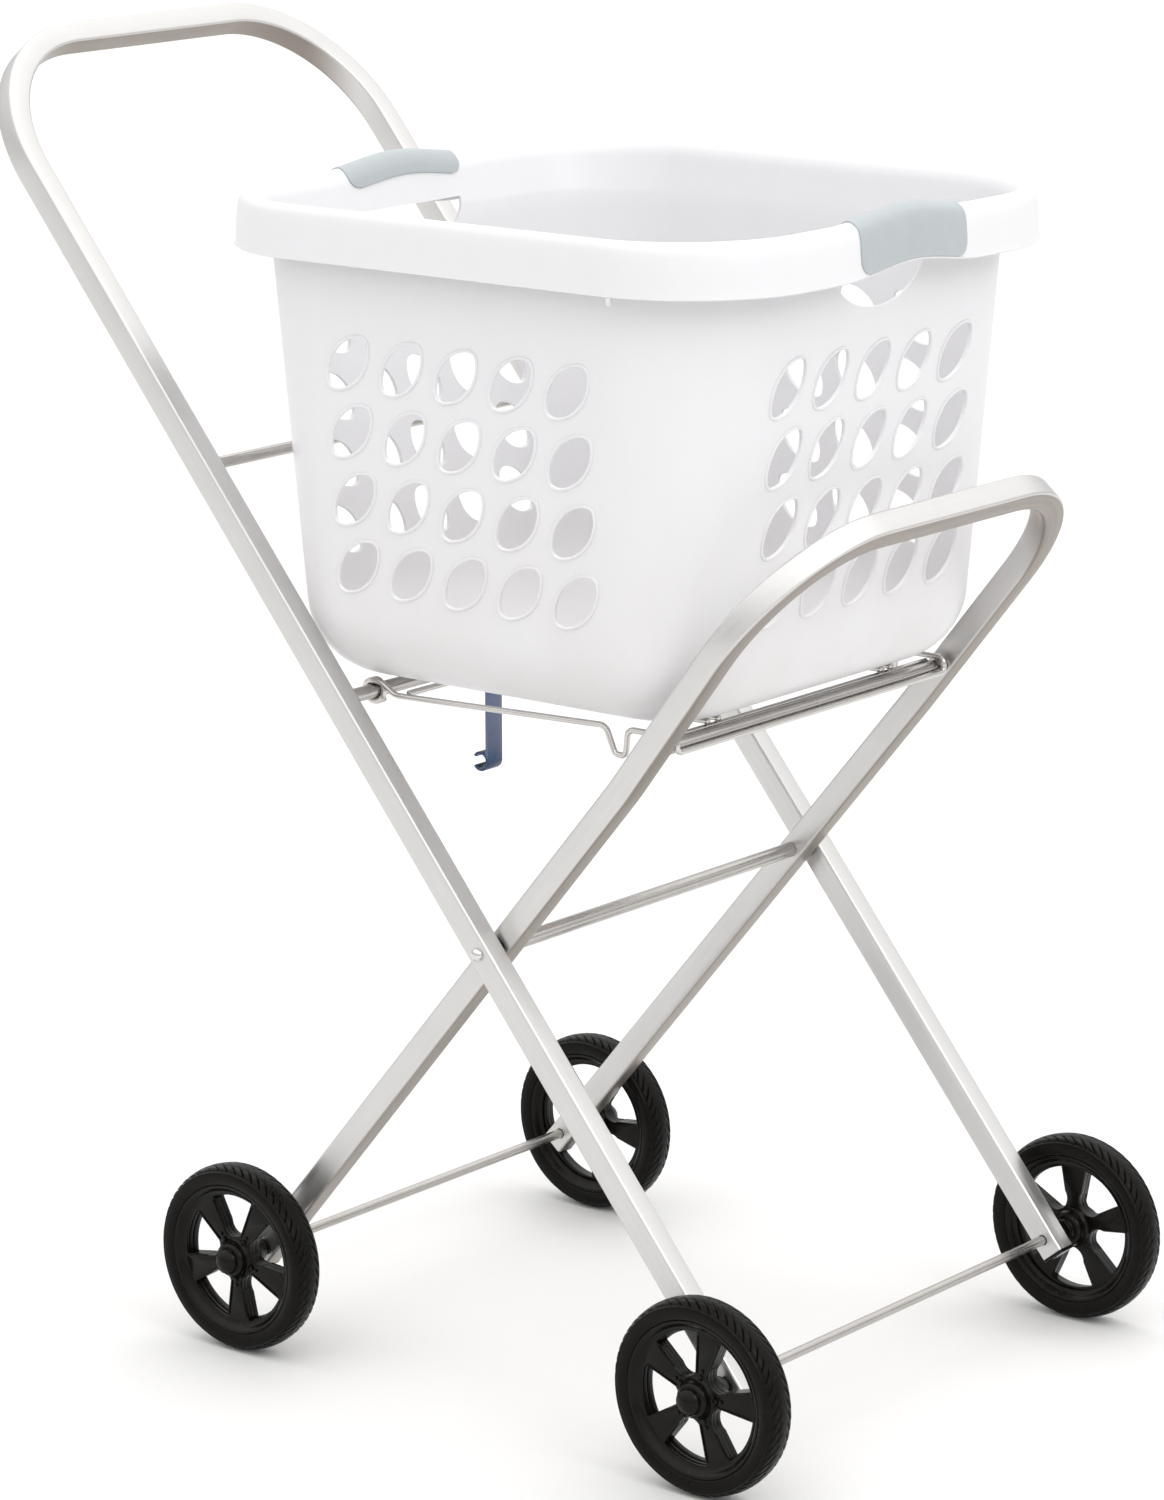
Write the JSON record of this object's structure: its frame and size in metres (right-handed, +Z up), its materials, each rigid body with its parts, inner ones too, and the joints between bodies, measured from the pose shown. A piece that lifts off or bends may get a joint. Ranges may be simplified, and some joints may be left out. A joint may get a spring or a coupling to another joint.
{
  "type": "folding laundry cart",
  "caption": "Folding laundry cart: two crossed U-shaped tube frames on spoked wheels, a wire rack and a lift-off plastic basket with slanted oval holes and soft grips.",
  "frame": {"origin": "middle of the cart's footprint box, on the floor", "axes": "+X towards the front (away from the handle), +Y to the cart's left, +Z up"},
  "size_m": [0.8428, 0.5364, 1.0116],
  "materials": {
    "frame_tube": "satin",
    "rod_steel": "satin",
    "bright_wire": "bright",
    "black_plastic": "fine grain",
    "tyre": "matte",
    "white_plastic": "soft gloss",
    "soft_grip": "matte",
    "blue_plastic": "soft gloss"
  },
  "bodies": {
    "handle_frame": {"handle_frame": "frame_tube", "pivot_tube": "rod_steel", "pivot_screw_left": "rod_steel", "pivot_screw_right": "rod_steel", "pivot_washer_left": "black_plastic", "pivot_washer_right": "black_plastic", "upper_rod": "rod_steel", "rear_rod": "rod_steel", "front_axle": "rod_steel", "leg_plug_front_left": "black_plastic", "leg_plug_front_right": "black_plastic", "axle_spacer_front_left": "black_plastic", "axle_spacer_front_right": "black_plastic", "hub_cap_front_left": "black_plastic", "hub_cap_front_right": "black_plastic"},
    "front_frame": {"front_frame": "frame_tube", "front_rod": "rod_steel", "rear_axle": "rod_steel", "leg_plug_rear_left": "black_plastic", "leg_plug_rear_right": "black_plastic", "axle_spacer_rear_left": "black_plastic", "axle_spacer_rear_right": "black_plastic", "hub_cap_rear_left": "black_plastic", "hub_cap_rear_right": "black_plastic"},
    "rack": {"rack_wire": "bright_wire", "rack_cross_wire_front": "bright_wire", "rack_cross_wire_rear": "bright_wire", "rack_hairpin_left": "bright_wire", "rack_hairpin_right": "bright_wire"},
    "basket": {"basket": "white_plastic", "grip_front": "soft_grip", "grip_rear": "soft_grip"},
    "clip": {"folding_clip": "blue_plastic"},
    "wheel_front_left": {"wheel_front_left": "black_plastic", "tyre_front_left": "tyre"},
    "wheel_front_right": {"wheel_front_right": "black_plastic", "tyre_front_right": "tyre"},
    "wheel_rear_left": {"wheel_rear_left": "black_plastic", "tyre_rear_left": "tyre"},
    "wheel_rear_right": {"wheel_rear_right": "black_plastic", "tyre_rear_right": "tyre"}
  },
  "joints": [
    {"name": "fold", "type": "hinge", "parent": "handle_frame", "child": "front_frame", "pos_m": [0.11242, 0, 0.3613], "axis": [0, -1, 0], "range_deg": [0, 55]},
    {"name": "rack_swing", "type": "hinge", "parent": "handle_frame", "child": "rack", "pos_m": [-0.02934, 0, 0.53474], "axis": [0, -1, 0], "range_deg": [0, 120]},
    {"name": "basket_lift", "type": "slide", "parent": "handle_frame", "child": "basket", "axis": [0, 0, 1], "range_m": [0, 1]},
    {"name": "clip_swing", "type": "hinge", "parent": "handle_frame", "child": "clip", "pos_m": [-0.02934, -0.033, 0.53474], "axis": [0, -1, 0], "range_deg": [-80, 70]},
    {"name": "wheel_front_left_spin", "type": "hinge", "parent": "handle_frame", "child": "wheel_front_left", "pos_m": [0.34642, 0.24475, 0.075], "axis": [0, 1, 0], "continuous": true},
    {"name": "wheel_front_right_spin", "type": "hinge", "parent": "handle_frame", "child": "wheel_front_right", "pos_m": [0.34642, -0.24475, 0.075], "axis": [0, 1, 0], "continuous": true},
    {"name": "wheel_rear_left_spin", "type": "hinge", "parent": "front_frame", "child": "wheel_rear_left", "pos_m": [-0.12718, 0.22295, 0.075], "axis": [0, 1, 0], "continuous": true},
    {"name": "wheel_rear_right_spin", "type": "hinge", "parent": "front_frame", "child": "wheel_rear_right", "pos_m": [-0.12718, -0.22295, 0.075], "axis": [0, 1, 0], "continuous": true}
  ],
  "couplings": [
    {"joint": "rack_swing", "follows": "fold", "ratio": 2.181},
    {"joint": "basket_lift", "follows": "fold", "m_per_rad": 1.04}
  ]
}
